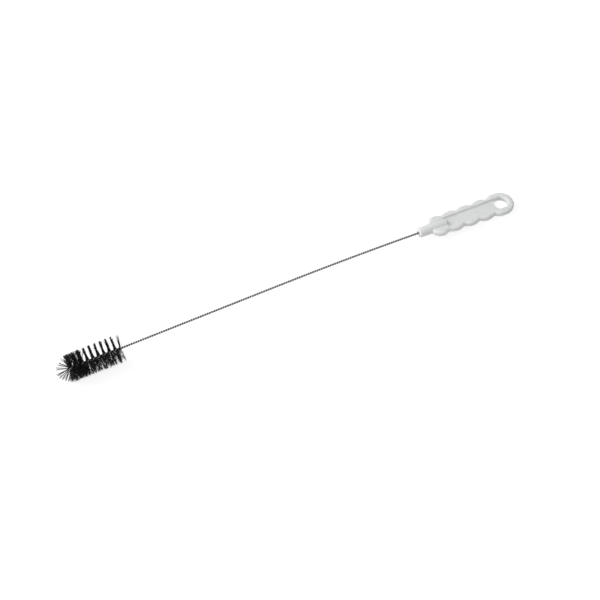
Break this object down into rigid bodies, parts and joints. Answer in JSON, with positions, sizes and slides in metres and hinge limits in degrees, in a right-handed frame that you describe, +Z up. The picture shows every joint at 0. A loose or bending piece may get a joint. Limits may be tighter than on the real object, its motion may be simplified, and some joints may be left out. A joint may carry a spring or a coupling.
{
  "type": "bottle brush",
  "caption": "Bottle brush with a twisted wire stem, a spiral bristle head with a forward-swept tip tuft, and a lobed plastic handle with a hanging hole.",
  "frame": {"origin": "middle of the bounding box's base, on the surface that the brush lies on", "axes": "+X from the tip of the brush towards the hanging hole, +Z up as it lies"},
  "size_m": [0.4886, 0.0282, 0.0282],
  "materials": {
    "white_plastic": "smooth moulded white plastic",
    "steel_wire": "bright drawn wire",
    "black_bristle": "black nylon filament"
  },
  "bodies": {
    "root": {"handle": "white_plastic", "twisted_wire": "steel_wire", "bristle_spiral": "black_bristle", "tip_tuft": "black_bristle"}
  },
  "joints": []
}
